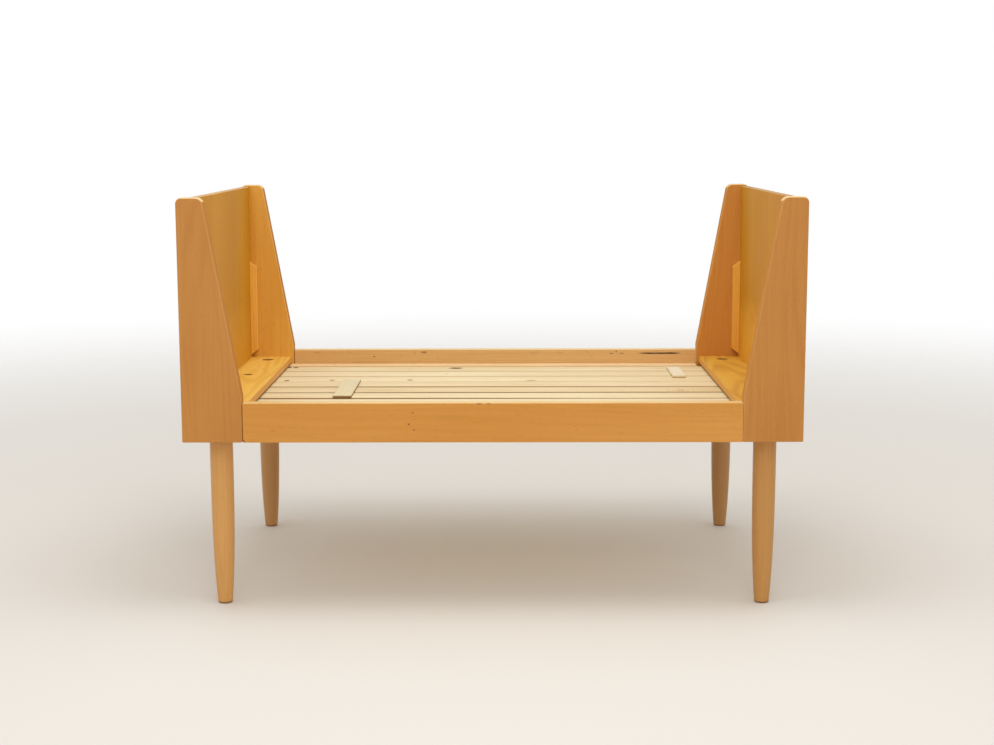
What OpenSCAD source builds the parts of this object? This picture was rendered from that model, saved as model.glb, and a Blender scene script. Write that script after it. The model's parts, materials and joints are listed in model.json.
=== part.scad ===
// Child's bed frame that draws out in length, shown pushed together.
// X runs along the bed, Y from the front rail to the rear rail, Z up from the floor.
// The left end, its inner rails and the even slats slide as one set. The right end,
// the outer rails and the odd slats are the other set. The slats of the two sets
// lie side by side in turn, so they pass each other like the fingers of two hands.

/* [Overall] */
// Length over both ends when the bed is pushed together
bed_length = 1120; // [1060:1:1200]
// Depth over the outer faces of the front and rear boards
bed_depth = 760; // [740:1:790]
// Height of the tops of the end boards
end_height = 758; // [660:1:820]
// Height of the underside of the boards, which is the length of the legs
underside = 318; // [250:1:380]
// How far the left end draws out
extension = 720; // [500:1:740]

/* [End boards] */
// Thickness of the boards at the front and rear of each end
wing_thickness = 25; // [22:0.5:30]
// Width of an end board below its slanted edge
wing_foot_width = 109; // [100:1:120]
// Width of an end board at its top
wing_top_width = 46; // [36:1:60]
// Height of the upright stretch of the inner edge below the slanted edge
wing_upright = 84; // [70:1:110]
// Radius of the outer top corner
wing_outer_radius = 11; // [3:0.5:14]
// Radius of the inner top corner
wing_inner_radius = 14; // [5:0.5:18]
// Thickness of the head and foot panels
panel_thickness = 16; // [12:0.5:20]
// How far the panels stop below the tops of the end boards
panel_drop = 4; // [0:0.5:12]
// Depth of the rebates that hold the panels' sides
panel_rebate = 10; // [6:0.5:14]

/* [Corner blocks] */
// Side of the glued corner blocks
corner_block_side = 16; // [12:0.5:20]
// Length of the glued corner blocks
corner_block_length = 207; // [150:1:240]
// Height of the slanted cut at each end of a corner block
corner_block_cut = 12; // [4:0.5:20]
// Gap below a corner block down to the end plate
corner_block_lift = 6.5; // [2:0.5:20]

/* [Outer rails] */
// Height of the outer rails
rail_height = 72; // [66:1:90]
// Play between parts that slide side by side
slide_gap = 1; // [0.5:0.1:1.5]
// Width of the ledge that carries an inner rail
ledge_width = 20; // [14:0.5:26]
// Height of the ledge and of the cross tie
ledge_height = 9; // [7:0.5:11]
// Play between an inner rail and the ledge below it
ride_gap = 0.5; // [0.3:0.1:1]
// Diameter of the rail dowels
dowel_diameter = 10; // [8:0.5:12]
// Length of the rail dowels
dowel_length = 60; // [40:1:80]
// Distance of the dowels from the rail's top and bottom edges
dowel_edge = 18; // [14:0.5:24]

/* [Inner rails] */
// Width of the inner rails
inner_rail_width = 37; // [30:0.5:40]
// Distance of the inner rail's screws from the ends of the leg block
rail_screw_inset = 16; // [10:0.5:24]

/* [Slats] */
// Height of the slats' tops above the underside of the boards
slat_rise = 40; // [38:0.5:44]
// Thickness of the slats
slat_thickness = 12; // [10:0.5:14]
// Width of the first slat, behind the front rail; the others share the rest evenly
first_slat_width = 36; // [20:1:70]
// Gap between neighbouring slats
slat_gap = 4; // [3:0.1:5]
// Clearance ahead of the free ends of the slats and inner rails
free_end_gap = 3; // [2:0.5:6]
// How far a slat lies on its own end's ledge
slat_bite = 21; // [18:1:26]
// Distance of the end screw from the end of its slat
slat_screw_inset = 10; // [7:0.5:13]
// Thickness of the packers that lift the slats off the bearers
packer_thickness = 1.5; // [1:0.1:2]
// Length of a packer across its slat
packer_length = 26; // [20:1:34]
// Width of the two slat bearers
bearer_width = 45; // [36:1:50]
// Distance of the left set's bearer from the free ends of its inner rails
bearer_setback = 8; // [4:0.5:20]

/* [Keepers] */
// Thickness of the two flat keepers
keeper_thickness = 5; // [3:0.5:8]
// Relief under a keeper where the neighbouring slats slide
keeper_relief = 0.8; // [0.5:0.1:1.5]
// Length of the long keeper, which is screwed to a right-hand slat
long_keeper_length = 216; // [200:1:220]
// Width of the long keeper
long_keeper_width = 36; // [28:0.5:44]
// How far its neighbours' free ends reach past the long keeper when the bed is fully drawn out
long_keeper_lap = 19; // [0:1:40]
// Length of the short keeper, which is screwed to a left-hand slat
short_keeper_length = 134; // [110:1:200]
// Width of the short keeper
short_keeper_width = 28; // [22:0.5:36]
// Distance of the short keeper from the free end of its slat
short_keeper_inset = 57; // [20:1:120]

/* [End plates] */
// Thickness of the plywood end plates
plate_thickness = 16; // [12:0.5:18]
// Gap between the slats and the underside of the plates
plate_gap = 1.5; // [1:0.1:3]
// How far the plate's edge stands back from the end board's edge
plate_setback = 5; // [0:0.5:12]
// Diameter of the spanner holes at the plates' corners
plate_hole = 25; // [20:0.5:28]
// Diameter of the two middle holes, which only the left plate has
middle_hole = 19; // [15:0.5:25]
// Distance of the two middle holes from the bed's middle line
middle_hole_y = 78; // [50:1:120]
// Distance of the two middle holes from the bed's end
middle_hole_inset = 49; // [46:0.5:56]
// Width of the cleats that carry the plates
cleat_width = 20; // [14:0.5:24]

/* [Legs] */
// Diameter of a leg at its top
leg_diameter = 42.6; // [36:0.1:50]
// Diameter of a leg at the floor
foot_diameter = 26.4; // [20:0.1:34]
// Sharpness of the taper towards the foot
leg_taper = 3.6; // [2:0.1:5]
// Rounding at the foot
foot_rounding = 2.5; // [1:0.1:4]
// Distance of the legs from the bed's ends
leg_inset_x = 57.5; // [54:0.5:62]
// Distance of the legs from the bed's front and rear
leg_inset_y = 76; // [72:0.5:84]
// Length of a leg block along the bed
leg_block_length = 80; // [72:1:84]
// Width of a leg block inside the inner rail
leg_block_width = 65; // [56:1:80]
// Width of the slat ledge between two leg blocks
slat_ledge_width = 40; // [30:1:46]

/* [Fixings] */
// Diameter of the leg bolts
bolt_diameter = 8; // [6:0.5:10]
// Depth of the leg bolts in the legs
bolt_depth = 50; // [35:1:70]
// How far a leg bolt stands out of its nut
bolt_end = 2; // [1:0.5:8]
// Width of the nut across its flats
nut_flats = 13; // [10:0.5:16]
// Height of the nut above its flange
nut_height = 6.5; // [5:0.5:8]
// Diameter of the nut's flange
flange_diameter = 18; // [16:0.5:20]
// Thickness of the nut's flange
flange_thickness = 1.5; // [1:0.1:2.5]
// Shank diameter of the slat screws
screw_diameter = 4; // [3.5:0.1:4.5]
// Length of the slat screws
screw_length = 25; // [22:1:27]
// Shank diameter of the keeper screws
keeper_screw_diameter = 3; // [2.5:0.1:3.5]
// Length of the keeper screws
keeper_screw_length = 15; // [14:0.5:16]
// Distance between the two screws of a keeper
keeper_screw_pitch = 44; // [30:1:54]
// Shank diameter of the rail screws
rail_screw_diameter = 5; // [4:0.1:6]
// Length of the rail screws
rail_screw_length = 50; // [42:1:56]
// Play around dowels, screws and bolts in their holes
hole_play = 0.1; // [0.05:0.01:0.3]
// Play past the ends of dowels and bolts in blind holes
end_play = 1; // [0.5:0.1:2]

/* [Hidden] */

// Mirror signs: the right end and the rear are positive
RIGHT = 1;
LEFT = -1;
REAR = 1;
FRONT = -1;

// Small overshoot of a cutter past the face that it opens
cut = 1;

// Main planes along the bed
end_x = bed_length / 2;
wing_x = end_x - wing_foot_width;
panel_x = end_x - panel_thickness;
plate_x = wing_x + plate_setback;
block_x = panel_x - leg_block_length;
leg_x = end_x - leg_inset_x;
slat_fixed_x = block_x + slat_bite;
slat_free_x = block_x - free_end_gap;
inner_rail_end_x = wing_x - free_end_gap;
left_bearer_x = inner_rail_end_x - bearer_setback - bearer_width;
right_bearer_x = left_bearer_x - extension - slide_gap - bearer_width;

// Main planes across the bed
side_y = bed_depth / 2;
wing_y = side_y - wing_thickness;
rail_thickness = wing_thickness - slide_gap;
rail_y = side_y - rail_thickness;
inner_y = wing_y - inner_rail_width;
deck_y = inner_y - slat_gap;
block_y = inner_y - leg_block_width;
leg_y = side_y - leg_inset_y;

// Main levels
rail_top = underside + rail_height;
slat_top = underside + slat_rise;
slat_low = slat_top - slat_thickness;
bearer_top = slat_low - packer_thickness;
ledge_top = underside + ledge_height;
plate_low = slat_top + plate_gap;
plate_top = plate_low + plate_thickness;
panel_top = end_height - panel_drop;
knee_z = underside + wing_upright;
nut_z = slat_low;
bolt_top = nut_z + flange_thickness + nut_height + bolt_end;

// Slats, counted from the front: the odd ones belong to the right end
slat_count = 9;
slat_pitch = (2 * deck_y - first_slat_width) / (slat_count - 1);
slat_width = slat_pitch - slat_gap;
right_slats = [1, 3, 5, 7, 9];
left_slats = [2, 4, 6, 8];
function set_slats(end) = end == RIGHT ? right_slats : left_slats;
function wide(i) = i == 1 ? first_slat_width : slat_width;
function slat_y(i) = i == 1 ? -deck_y : deck_y - slat_width - (slat_count - i) * slat_pitch;
function slat_middle(i) = slat_y(i) + wide(i) / 2;

// The keepers, each on a slat of one set, and their middles along the bed
long_keeper_slat = right_slats[2];
short_keeper_slat = left_slats[3];
long_keeper_x = slat_free_x - extension - long_keeper_lap - long_keeper_width / 2;
short_keeper_x = slat_free_x - short_keeper_inset - short_keeper_width / 2;

// Screws through the slats at their own end
slat_screw_x = slat_fixed_x - slat_screw_inset;
screw_head_ratio = 2;

// Colours
beech = "#cd8f46";
veneer = "#ba8737";
ply = "#dea546";
pine = "#ecd6a8";
keeper_wood = "#ebe4d2";
leg_wood = "#cd9650";
steel = "#b9bcc0";

// End boards and panels

// The outline of an end board of the right end, seen from the front
module wing_outline() {
    polygon([
        [wing_x, underside],
        [end_x, underside],
        [end_x, end_height],
        [end_x - wing_top_width, end_height],
        [wing_x, knee_z]
    ]);
}

// The waste outside a round corner: the corner is at p, a and b are where the arc starts and ends
module corner_waste(p, a, b, centre, radius) {
    out = p + (p - centre);
    difference() {
        linear_extrude(wing_thickness + 2 * cut, center = true)
            polygon([a, out, b, centre]);
        translate([centre.x, centre.y, 0])
            cylinder(r = radius, h = wing_thickness + 4 * cut, center = true, $fn = 64);
    }
}

// Both round top corners, drawn in the board's own plane
module wing_corner_wastes() {
    outer = [end_x, end_height];
    corner_waste(
        outer,
        outer - [0, wing_outer_radius],
        outer - [wing_outer_radius, 0],
        outer - [wing_outer_radius, wing_outer_radius],
        wing_outer_radius
    );
    inner = [end_x - wing_top_width, end_height];
    slope = atan2(end_height - knee_z, wing_foot_width - wing_top_width);
    tangent = wing_inner_radius / tan((180 - slope) / 2);
    corner_waste(
        inner,
        inner + [tangent, 0],
        inner - tangent * [cos(slope), sin(slope)],
        inner + [tangent, -wing_inner_radius],
        wing_inner_radius
    );
}

module wing(end, side) {
    board_y = side * (side_y - wing_thickness / 2);
    color(beech)
    mirror([end == LEFT ? 1 : 0, 0, 0])
    difference() {
        translate([0, board_y, 0])
        rotate([90, 0, 0])
        difference() {
            linear_extrude(wing_thickness, center = true)
                wing_outline();
            wing_corner_wastes();
        }
        panel_rebate_cut(side);
        if (end == RIGHT) {
            rail_dowel_shapes(side, dowel_diameter + 2 * hole_play, dowel_length + 2 * end_play);
        } else {
            rail_screw_shapes(side, hole_play);
        }
    }
}

// The rebate runs from the underside up to the panel's top edge
module panel_rebate_cut(side) {
    y = side == REAR ? wing_y - cut : -wing_y - panel_rebate;
    translate([panel_x, y, underside - cut])
        cube([panel_thickness + cut, panel_rebate + cut, panel_top - underside + cut]);
}

module headboard(end) {
    half = wing_y + panel_rebate;
    color(veneer)
    mirror([end == LEFT ? 1 : 0, 0, 0])
    translate([panel_x, -half, underside])
        cube([panel_thickness, 2 * half, panel_top - underside]);
}

module corner_block(end, side) {
    low = plate_top + corner_block_lift;
    high = low + corner_block_length;
    color(beech)
    mirror([end == LEFT ? 1 : 0, 0, 0])
    translate([0, side * (wing_y - corner_block_side / 2), 0])
    rotate([90, 0, 0])
    linear_extrude(corner_block_side, center = true)
        polygon([
            [panel_x, low],
            [panel_x, high],
            [panel_x - corner_block_side, high - corner_block_cut],
            [panel_x - corner_block_side, low + corner_block_cut]
        ]);
}

// End plates and what carries them

module end_plate(end) {
    color(ply)
    mirror([end == LEFT ? 1 : 0, 0, 0])
    difference() {
        translate([plate_x, -wing_y, plate_low])
            cube([panel_x - plate_x, 2 * wing_y, plate_thickness]);
        for (side = [FRONT, REAR]) {
            plate_hole_cut(leg_x, side * leg_y, plate_hole);
            if (end == LEFT)
                plate_hole_cut(end_x - middle_hole_inset, side * middle_hole_y, middle_hole);
        }
    }
}

module plate_hole_cut(x, y, diameter) {
    translate([x, y, plate_low - cut])
        cylinder(d = diameter, h = plate_thickness + 2 * cut, $fn = 48);
}

// The cleat along the panel; on the left it fits between the inner rails
module plate_cleat(end) {
    half = end == LEFT ? inner_y : wing_y;
    color(pine)
    mirror([end == LEFT ? 1 : 0, 0, 0])
    translate([panel_x - cleat_width, -half, slat_low])
        cube([cleat_width, 2 * half, plate_low - slat_low]);
}

module wing_cleat(side) {
    length = leg_block_length - cleat_width;
    color(pine)
    translate([block_x, side == REAR ? wing_y - cleat_width : -wing_y, slat_low])
        cube([length, cleat_width, plate_low - slat_low]);
}

// Leg blocks reach out to the end board on the right and to the inner rail on the left
module leg_block(end, side) {
    outer_y = end == LEFT ? inner_y : wing_y;
    width = outer_y - block_y;
    color(pine)
    mirror([end == LEFT ? 1 : 0, 0, 0])
    difference() {
        translate([block_x, side == REAR ? block_y : -outer_y, underside])
            cube([leg_block_length, width, slat_low - underside]);
        translate([leg_x, side * leg_y, underside - cut])
            cylinder(
                d = bolt_diameter + 2 * hole_play,
                h = slat_low - underside + 2 * cut,
                $fn = 32
            );
        slat_screw_shapes_fixed(end, hole_play);
    }
}

module slat_ledge(end) {
    color(pine)
    mirror([end == LEFT ? 1 : 0, 0, 0])
    difference() {
        translate([block_x, -block_y, underside])
            cube([slat_ledge_width, 2 * block_y, slat_low - underside]);
        slat_screw_shapes_fixed(end, hole_play);
    }
}

// Legs

// Radius of the leg at height z: nearly straight at the top, drawn in towards the foot
function leg_radius(z) =
    foot_diameter / 2
    + (leg_diameter - foot_diameter) / 2 * (1 - pow(1 - z / underside, leg_taper));

leg_steps = 24;
foot_steps = 4;

module leg(end, side) {
    foot_arc = [
        for (i = [0:foot_steps])
        let (a = 90 * i / foot_steps)
        [
            leg_radius(foot_rounding) - foot_rounding * (1 - sin(a)),
            foot_rounding * (1 - cos(a))
        ]
    ];
    shaft = [
        for (i = [1:leg_steps])
        let (z = foot_rounding + (underside - foot_rounding) * i / leg_steps)
        [leg_radius(z), z]
    ];
    color(leg_wood)
    translate([end * leg_x, side * leg_y, 0])
    difference() {
        rotate_extrude($fn = 64)
            polygon(concat([[0, 0]], foot_arc, shaft, [[0, underside]]));
        translate([0, 0, underside - bolt_depth - end_play])
            cylinder(
                d = bolt_diameter + 2 * hole_play,
                h = bolt_depth + end_play + cut,
                $fn = 32
            );
    }
}

// Bolts threaded at both ends, from inside each leg to just above its nut
module leg_bolts(end) {
    length = bolt_top - underside + bolt_depth;
    point = 1;
    color(steel)
    for (side = [FRONT, REAR])
    translate([end * leg_x, side * leg_y, underside - bolt_depth])
    rotate_extrude($fn = 32)
        polygon([
            [0, 0],
            [bolt_diameter / 2 - point, 0],
            [bolt_diameter / 2, point],
            [bolt_diameter / 2, length - point],
            [bolt_diameter / 2 - point, length],
            [0, length]
        ]);
}

module leg_nuts(end) {
    color(steel)
    for (side = [FRONT, REAR])
    translate([end * leg_x, side * leg_y, nut_z])
    difference() {
        union() {
            cylinder(d = flange_diameter, h = flange_thickness, $fn = 48);
            cylinder(d = nut_flats / cos(30), h = flange_thickness + nut_height, $fn = 6);
        }
        translate([0, 0, -cut])
            cylinder(
                d = bolt_diameter + 2 * hole_play,
                h = flange_thickness + nut_height + 2 * cut,
                $fn = 32
            );
    }
}

// Rails

module outer_rail(side) {
    color(beech)
    difference() {
        translate([slide_gap - wing_x, side == REAR ? rail_y : -side_y, underside])
            cube([2 * wing_x - slide_gap, rail_thickness, rail_height]);
        rail_dowel_shapes(side, dowel_diameter + 2 * hole_play, dowel_length + 2 * end_play);
    }
}

// Dowels, or the holes for them, where an outer rail meets the right end
module rail_dowel_shapes(side, diameter, length) {
    for (z = [underside + dowel_edge, rail_top - dowel_edge])
    translate([wing_x, side * (side_y - wing_thickness / 2), z])
    rotate([0, 90, 0])
        cylinder(d = diameter, h = length, center = true, $fn = 32);
}

module rail_dowels() {
    color(pine)
    for (side = [FRONT, REAR])
        rail_dowel_shapes(side, dowel_diameter, dowel_length);
}

// The ledge inside an outer rail, on which the inner rail slides
module rail_ledge(side) {
    color(pine)
    translate([slide_gap - wing_x, side == REAR ? rail_y - ledge_width : -rail_y, underside])
        cube([2 * wing_x - slide_gap, ledge_width, ledge_height]);
}

module inner_rail(side) {
    low = ledge_top + ride_gap;
    color(pine)
    difference() {
        translate([-panel_x, side == REAR ? inner_y : -wing_y, low])
            cube([panel_x + inner_rail_end_x, inner_rail_width, plate_low - low]);
        mirror([1, 0, 0])
            rail_screw_shapes(side, hole_play);
    }
}

// Screws, or the holes for them, from the inner rail into the end board of the left end
module rail_screw_shapes(side, play) {
    z = (ledge_top + ride_gap + plate_low) / 2;
    for (x = [block_x + rail_screw_inset, panel_x - rail_screw_inset])
    translate([x, side * inner_y, z])
    rotate([side * 90, 0, 0])
        screw(rail_screw_diameter, rail_screw_length, play);
}

module rail_screws() {
    color(steel)
    mirror([1, 0, 0])
    for (side = [FRONT, REAR])
        rail_screw_shapes(side, 0);
}

// A countersunk screw that points down from z = 0; play makes it the hole for one
module screw(diameter, length, play) {
    head = screw_head_ratio * diameter / 2;
    shank = diameter / 2;
    tip = diameter;
    mouth = play > 0 ? [[0, cut], [head + play, cut]] : [[0, 0]];
    rotate_extrude($fn = 32)
        polygon(concat(mouth, [
            [head + play, 0],
            [shank + play, shank - head],
            [shank + play, tip - length - play],
            [0, -length - play]
        ]));
}

// Slats and bearers

module slat(i) {
    right = i % 2 == 1;
    x0 = right ? -slat_free_x : -slat_fixed_x;
    color(pine)
    difference() {
        translate([x0, slat_y(i), slat_low])
            cube([slat_free_x + slat_fixed_x, wide(i), slat_thickness]);
        slat_screw_shapes(right ? RIGHT : LEFT, hole_play);
        if (i == long_keeper_slat) {
            keeper_screw_shapes(i, long_keeper_x, hole_play);
        }
        if (i == short_keeper_slat) {
            keeper_screw_shapes(i, short_keeper_x, hole_play);
        }
    }
}

// Screws at the slats' own end, drawn on the right-hand side
module slat_screw_shapes_fixed(end, play) {
    for (i = set_slats(end))
    translate([slat_screw_x, slat_middle(i), slat_top])
        screw(screw_diameter, screw_length, play);
}

function bearer_middle(end) = (end == RIGHT ? right_bearer_x : left_bearer_x) + bearer_width / 2;

// Screws driven up through a bearer into the slats that it ties together
module slat_screw_shapes_bearer(end, play) {
    for (i = set_slats(end))
    translate([bearer_middle(end), slat_middle(i), ledge_top])
    rotate([180, 0, 0])
        screw(screw_diameter, screw_length, play);
}

module slat_screw_shapes(end, play) {
    mirror([end == LEFT ? 1 : 0, 0, 0])
        slat_screw_shapes_fixed(end, play);
    slat_screw_shapes_bearer(end, play);
}

module slat_screws(end) {
    color(steel)
        slat_screw_shapes(end, 0);
}

// The bearers tie the free ends of each set together, and meet when the bed is fully drawn out.
// The left one joins the two inner rails, and the right one runs between them.
module slat_bearer(end) {
    half = end == LEFT ? inner_y : inner_y - slide_gap;
    color(pine)
    difference() {
        translate([bearer_middle(end) - bearer_width / 2, -half, ledge_top])
            cube([bearer_width, 2 * half, bearer_top - ledge_top]);
        slat_screw_shapes_bearer(end, hole_play);
    }
}

module bearer_packers(end) {
    color(keeper_wood)
    difference() {
        for (i = set_slats(end))
        let (length = min(packer_length, wide(i)))
        translate([
            bearer_middle(end) - bearer_width / 2,
            slat_middle(i) - length / 2,
            bearer_top
        ])
            cube([bearer_width, length, packer_thickness]);
        slat_screw_shapes_bearer(end, hole_play);
    }
}

// The cross tie joins the two ledges and carries the right set's bearer
module cross_tie() {
    half = rail_y - ledge_width;
    color(pine)
    translate([right_bearer_x, -half, underside])
        cube([bearer_width, 2 * half, ledge_height]);
}

// Keepers

// A keeper lies flat on its own slat and stands clear of the slats on both sides
module keeper(i, x, length, width) {
    land = slat_width;
    color(keeper_wood)
    difference() {
        translate([x - width / 2, slat_middle(i) - length / 2, slat_top])
            cube([width, length, keeper_thickness]);
        for (side = [FRONT, REAR])
        translate([
            x - width / 2 - cut,
            slat_middle(i) + side * (land + length) / 2 - length / 2,
            slat_top - cut
        ])
            cube([width + 2 * cut, length, keeper_relief + cut]);
        keeper_screw_shapes(i, x, hole_play);
    }
}

// Screws driven up through the slat, so that the keeper's top stays whole
module keeper_screw_shapes(i, x, play) {
    for (side = [FRONT, REAR])
    translate([x, slat_middle(i) + side * keeper_screw_pitch / 2, slat_low])
    rotate([180, 0, 0])
        screw(keeper_screw_diameter, keeper_screw_length, play);
}

module keeper_screws(i, x) {
    color(steel)
        keeper_screw_shapes(i, x, 0);
}

outer_rail(FRONT);  // rail_front
outer_rail(REAR);  // rail_rear
rail_ledge(FRONT);  // rail_ledge_front
rail_ledge(REAR);  // rail_ledge_rear
rail_dowels();
wing(RIGHT, FRONT);  // wing_front_right
wing(RIGHT, REAR);  // wing_rear_right
headboard(RIGHT);  // headboard_right
corner_block(RIGHT, FRONT);  // corner_block_front_right
corner_block(RIGHT, REAR);  // corner_block_rear_right
end_plate(RIGHT);  // end_plate_right
plate_cleat(RIGHT);  // plate_cleat_right
wing_cleat(FRONT);  // wing_cleat_front_right
wing_cleat(REAR);  // wing_cleat_rear_right
leg_block(RIGHT, FRONT);  // leg_block_front_right
leg_block(RIGHT, REAR);  // leg_block_rear_right
slat_ledge(RIGHT);  // slat_ledge_right
leg(RIGHT, FRONT);  // leg_front_right
leg(RIGHT, REAR);  // leg_rear_right
leg_bolts(RIGHT);  // leg_bolts_right
leg_nuts(RIGHT);  // leg_nuts_right
slat(1);  // slat_1
slat(3);  // slat_3
slat(5);  // slat_5
slat(7);  // slat_7
slat(9);  // slat_9
cross_tie();
slat_bearer(RIGHT);  // slat_bearer_right
bearer_packers(RIGHT);  // bearer_packers_right
keeper(long_keeper_slat, long_keeper_x, long_keeper_length, long_keeper_width);  // keeper_long
keeper_screws(long_keeper_slat, long_keeper_x);  // keeper_screws_long
slat_screws(RIGHT);  // slat_screws_right
wing(LEFT, FRONT);  // wing_front_left
wing(LEFT, REAR);  // wing_rear_left
headboard(LEFT);  // headboard_left
corner_block(LEFT, FRONT);  // corner_block_front_left
corner_block(LEFT, REAR);  // corner_block_rear_left
end_plate(LEFT);  // end_plate_left
plate_cleat(LEFT);  // plate_cleat_left
leg_block(LEFT, FRONT);  // leg_block_front_left
leg_block(LEFT, REAR);  // leg_block_rear_left
slat_ledge(LEFT);  // slat_ledge_left
leg(LEFT, FRONT);  // leg_front_left
leg(LEFT, REAR);  // leg_rear_left
leg_bolts(LEFT);  // leg_bolts_left
leg_nuts(LEFT);  // leg_nuts_left
inner_rail(FRONT);  // inner_rail_front
inner_rail(REAR);  // inner_rail_rear
rail_screws();
slat(2);  // slat_2
slat(4);  // slat_4
slat(6);  // slat_6
slat(8);  // slat_8
slat_bearer(LEFT);  // slat_bearer_left
bearer_packers(LEFT);  // bearer_packers_left
keeper(short_keeper_slat, short_keeper_x, short_keeper_length, short_keeper_width);  // keeper_short
keeper_screws(short_keeper_slat, short_keeper_x);  // keeper_screws_short
slat_screws(LEFT);  // slat_screws_left
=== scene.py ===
# Extending bed frame: the looks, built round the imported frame
import json
import math
import random

import bmesh
import bpy
from mathutils import Matrix, Vector

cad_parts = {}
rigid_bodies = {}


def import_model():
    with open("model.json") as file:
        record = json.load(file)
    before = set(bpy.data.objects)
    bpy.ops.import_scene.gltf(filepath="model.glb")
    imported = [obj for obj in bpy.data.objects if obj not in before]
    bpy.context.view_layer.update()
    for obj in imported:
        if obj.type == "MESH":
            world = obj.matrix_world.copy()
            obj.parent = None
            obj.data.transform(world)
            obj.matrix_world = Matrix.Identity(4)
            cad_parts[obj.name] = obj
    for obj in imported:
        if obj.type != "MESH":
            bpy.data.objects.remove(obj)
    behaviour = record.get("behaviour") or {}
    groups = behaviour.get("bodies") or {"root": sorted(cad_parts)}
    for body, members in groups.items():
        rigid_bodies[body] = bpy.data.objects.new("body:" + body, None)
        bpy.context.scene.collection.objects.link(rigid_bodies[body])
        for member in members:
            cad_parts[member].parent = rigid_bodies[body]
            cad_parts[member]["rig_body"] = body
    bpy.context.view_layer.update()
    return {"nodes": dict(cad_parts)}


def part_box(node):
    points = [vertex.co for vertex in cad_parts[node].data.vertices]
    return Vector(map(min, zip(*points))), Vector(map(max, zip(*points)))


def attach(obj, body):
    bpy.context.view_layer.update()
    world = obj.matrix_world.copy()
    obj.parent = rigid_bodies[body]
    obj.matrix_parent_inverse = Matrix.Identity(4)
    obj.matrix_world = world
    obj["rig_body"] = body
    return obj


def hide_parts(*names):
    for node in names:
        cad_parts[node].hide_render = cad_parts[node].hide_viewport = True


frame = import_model()
scene = bpy.context.scene


# Node helpers, used for materials and for geometry trees

def tone(text):  # "#rrggbb" as a screen shows it, made linear
    parts = [int(text[at:at + 2], 16) / 255 for at in (1, 3, 5)]
    return tuple(c / 12.92 if c <= 0.04045 else ((c + 0.055) / 1.055) ** 2.4 for c in parts) + (1.0,)


def node(tree, kind, feeds=None, **settings):  # a feed is a socket to link or a plain value
    made = tree.nodes.new(kind)
    made.location = (200 * (len(tree.nodes) % 10), -260 * (len(tree.nodes) // 10))
    for key, value in settings.items():
        setattr(made, key, value)
    for key, value in (feeds or {}).items():
        if isinstance(value, bpy.types.NodeSocket):
            tree.links.new(value, made.inputs[key])
        else:
            made.inputs[key].default_value = value
    return made


def treeOf(*values):  # the tree that holds the sockets among these values
    return next(value.id_data for value in values if isinstance(value, bpy.types.NodeSocket))


def mathsFor(operation):
    return lambda *values: node(treeOf(*values), "ShaderNodeMath", dict(enumerate(values)),
                                operation=operation).outputs[0]


plus, minus, times, divided, timesPlus = map(
    mathsFor, ("ADD", "SUBTRACT", "MULTIPLY", "DIVIDE", "MULTIPLY_ADD"))
least, most, power, pingPong, remainder = map(
    mathsFor, ("MINIMUM", "MAXIMUM", "POWER", "PINGPONG", "MODULO"))
absolute, cosine, squareRoot = map(mathsFor, ("ABSOLUTE", "COSINE", "SQRT"))


def vectors(operation, *values):
    made = node(treeOf(*values), "ShaderNodeVectorMath", dict(enumerate(values)), operation=operation)
    return made.outputs["Value" if operation == "LENGTH" else "Vector"]


def xyz(x=0.0, y=0.0, z=0.0):
    return node(treeOf(x, y, z), "ShaderNodeCombineXYZ", {0: x, 1: y, 2: z}).outputs[0]


def apart(vector):
    return node(treeOf(vector), "ShaderNodeSeparateXYZ", {0: vector}).outputs


def mixTone(share, under, over):
    under = tone(under) if isinstance(under, str) else under
    return node(treeOf(share), "ShaderNodeMix", {0: share, 6: under, 7: tone(over)},
                data_type="RGBA").outputs[2]


def smoothStep(value, band, start=0.0, stop=1.0):
    feeds = {"Value": value, "From Min": band[0], "From Max": band[1], "To Min": start, "To Max": stop}
    return node(treeOf(value), "ShaderNodeMapRange", feeds, interpolation_type="SMOOTHSTEP").outputs[0]


def noise(place, stretch, detail=2.0, roughness=0.5):  # stretch is cells per metre
    spread = vectors("MULTIPLY", place, stretch)
    return node(treeOf(place), "ShaderNodeTexNoise",
                {"Vector": spread, "Scale": 1.0, "Detail": detail, "Roughness": roughness}).outputs


def onPiece(tree):  # the place on the piece, in metres
    return node(tree, "ShaderNodeTexCoord").outputs["Object"]


def attribute(tree, name, output="Fac"):
    return node(tree, "ShaderNodeAttribute", attribute_name=name).outputs[output]


socketKinds = {float: "Float", int: "Int", tuple: "Vector"}


def makeTree(name, inputs, build, kind="ShaderNodeTree", outputKind="Float"):
    tree = bpy.data.node_groups.new(name, kind)
    for label, value in inputs.items():  # a word as value names the input's kind
        word = value if isinstance(value, str) else socketKinds[type(value)]
        made = tree.interface.new_socket(label, in_out="INPUT", socket_type="NodeSocket" + word)
        if word != value:
            made.default_value = value
    results = build(tree, tree.nodes.new("NodeGroupInput").outputs)
    for label in results:
        tree.interface.new_socket(label, in_out="OUTPUT", socket_type="NodeSocket" + outputKind)
    ends = tree.nodes.new("NodeGroupOutput").inputs
    for label, socket in results.items():
        tree.links.new(socket, ends[label])
    return tree


def useGroup(tree, group, feeds):
    return node(tree, "ShaderNodeGroup", feeds, node_tree=group).outputs


# Shader groups. The attribute woodPlace has x across the board, y through it and z along the grain,
# in metres from the board's own heart of the tree, so that no two boards share a figure.

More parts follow.
